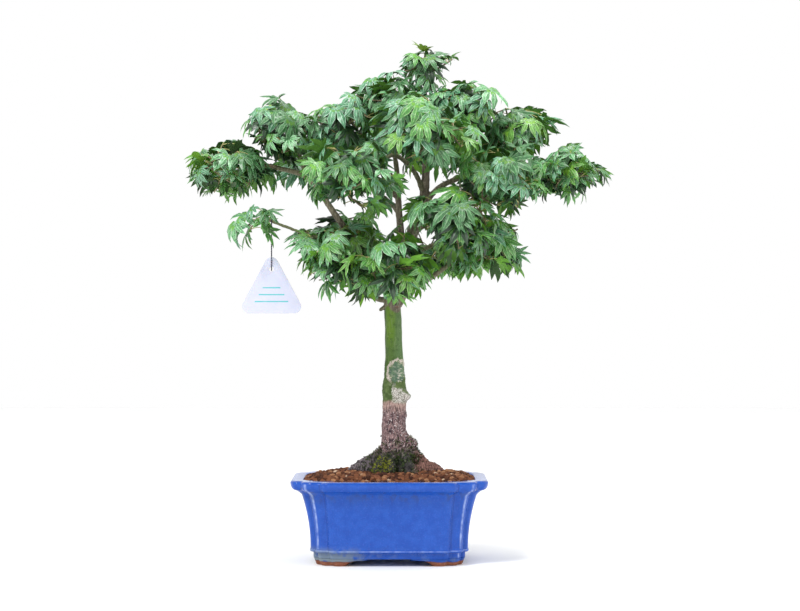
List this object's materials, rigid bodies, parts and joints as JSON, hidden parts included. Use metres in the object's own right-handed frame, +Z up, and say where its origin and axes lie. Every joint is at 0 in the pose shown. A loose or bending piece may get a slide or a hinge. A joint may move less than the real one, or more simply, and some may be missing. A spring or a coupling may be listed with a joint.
{
  "type": "japanese maple bonsai in a pot",
  "caption": "Japanese maple bonsai with an upright trunk, open spreading crown of palmate green leaves, in a blue glazed rectangular pot, with a plain hanging tag.",
  "frame": {"origin": "middle of the whole plant's box, on the plane that the pot's feet stand on", "axes": "+Z up along the trunk, -Y towards the front of the pot, +X to the right seen from the front"},
  "size_m": [0.4454, 0.2897, 0.5321],
  "materials": {
    "glaze": "glossy cobalt blue glaze",
    "clay": "bare red-brown clay with a glazed upper edge",
    "soil": "loose red-brown clay granules",
    "bark": "green young bark above, tan and brown rough bark below",
    "leaves": "satin green leaves with paler undersides",
    "tag": "smooth pale plastic",
    "string": "dark twisted thread"
  },
  "bodies": {
    "root": {"bough_back_centre": "bark", "bough_back_left": "bark", "bough_back_low_left": "bark", "bough_back_low_right": "bark", "bough_back_right": "bark", "bough_front_left": "bark", "bough_front_low": "bark", "bough_front_right": "bark", "bough_front_upper": "bark", "bough_left": "bark", "bough_left_shoulder": "bark", "bough_low_left": "bark", "bough_low_right": "bark", "bough_right": "bark", "bough_right_mid": "bark", "bough_right_outer": "bark", "bough_tag": "bark", "bough_top_right": "bark", "bough_upper_left": "bark", "foot_back_left": "clay", "foot_back_right": "clay", "foot_front_left": "clay", "foot_front_right": "clay", "leader": "bark", "leaves_apex": "leaves", "leaves_back_centre": "leaves", "leaves_back_left": "leaves", "leaves_back_low_left": "leaves", "leaves_back_low_right": "leaves", "leaves_back_right": "leaves", "leaves_front_left": "leaves", "leaves_front_low": "leaves", "leaves_front_right": "leaves", "leaves_front_upper": "leaves", "leaves_left_shoulder": "leaves", "leaves_left_tip": "leaves", "leaves_low_left": "leaves", "leaves_right_low": "leaves", "leaves_right_mid": "leaves", "leaves_right_tip": "leaves", "leaves_tag_spray": "leaves", "leaves_top_left": "leaves", "leaves_top_right": "leaves", "leaves_upper_left": "leaves", "leaves_upper_right": "leaves", "pot": "glaze", "soil": "soil", "stem_left": "bark", "tag": "tag", "tag_string": "string", "trunk": "bark"}
  },
  "joints": []
}
